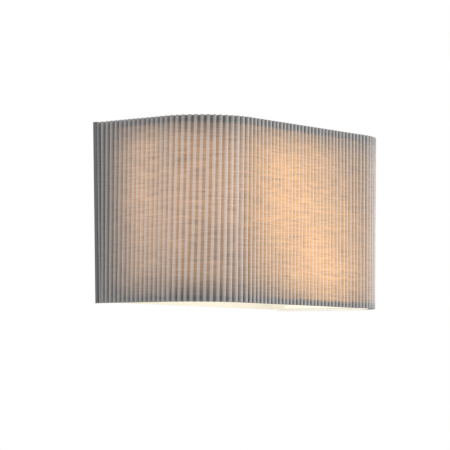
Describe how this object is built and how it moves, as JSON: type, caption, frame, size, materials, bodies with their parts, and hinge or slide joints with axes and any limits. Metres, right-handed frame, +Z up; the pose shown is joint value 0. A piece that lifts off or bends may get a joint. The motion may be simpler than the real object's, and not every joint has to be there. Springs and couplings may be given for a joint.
{
  "type": "wall light",
  "caption": "D-shaped pleated fabric wall light with a lift-off wire-framed shade on a steel back panel, holding one capsule lamp up and one down.",
  "frame": {"origin": "on the wall plane at the centre of the two fixing slots of the back panel", "axes": "+X to the right along the wall, +Y into the wall, +Z up; the shade stands out towards -Y"},
  "size_m": [0.3072, 0.1553, 0.18],
  "materials": {
    "shade_cloth": "pleated silver-grey slub cloth, lit warm from inside",
    "liner": "translucent white laminated liner",
    "hem_tape": "woven tape",
    "frame_wire": "white enamelled wire",
    "plated_steel": "zinc plated",
    "white_steel": "white powder coat",
    "grommet_rubber": "matt",
    "bush_plastic": "satin",
    "block_plastic": "satin",
    "brass_parts": "turned",
    "earth_sleeve": "silicone",
    "live_sleeve": "silicone",
    "neutral_sleeve": "silicone",
    "holder_ceramic": "unglazed",
    "lamp_ceramic": "fine",
    "lamp_glass": "frosted",
    "lamp_source": "lit core"
  },
  "bodies": {
    "wall_unit": {"back_panel": "white_steel", "bracket_nuts": "plated_steel", "bracket_screws": "plated_steel", "cable_grommet": "grommet_rubber", "cover_screws": "plated_steel", "earth_lead": "earth_sleeve", "earth_nut": "brass_parts", "earth_stud": "brass_parts", "earth_tag": "brass_parts", "holder_screws": "plated_steel", "lamp_bracket": "white_steel", "lead_bush": "bush_plastic", "live_leads": "live_sleeve", "lower_contacts": "plated_steel", "lower_lampholder": "holder_ceramic", "neutral_leads": "neutral_sleeve", "shoulder_pins": "plated_steel", "terminal_block": "block_plastic", "terminal_fixing_screw": "plated_steel", "terminal_screws": "brass_parts", "upper_contacts": "plated_steel", "upper_lampholder": "holder_ceramic", "wiring_cover": "white_steel"},
    "shade": {"pleated_fabric": "shade_cloth", "shade_liner": "liner", "upper_hem_tape": "hem_tape", "lower_hem_tape": "hem_tape", "upper_ring": "frame_wire", "lower_ring": "frame_wire", "shade_uprights": "frame_wire", "back_edge_tapes": "hem_tape", "fork_clips": "plated_steel"},
    "upper_lamp": {"upper_lamp_base": "lamp_ceramic", "upper_lamp_glass": "lamp_glass", "upper_lamp_filament": "lamp_source", "upper_lamp_pins": "plated_steel"},
    "lower_lamp": {"lower_lamp_base": "lamp_ceramic", "lower_lamp_glass": "lamp_glass", "lower_lamp_filament": "lamp_source", "lower_lamp_pins": "plated_steel"}
  },
  "joints": [
    {"name": "shade_pull", "type": "slide", "parent": "wall_unit", "child": "shade", "axis": [0, -1, 0], "range_m": [0, 0.13]},
    {"name": "upper_lamp_pull", "type": "slide", "parent": "wall_unit", "child": "upper_lamp", "axis": [0, 0, 1], "range_m": [0, 0.09]},
    {"name": "lower_lamp_pull", "type": "slide", "parent": "wall_unit", "child": "lower_lamp", "axis": [0, 0, -1], "range_m": [0, 0.09]}
  ]
}
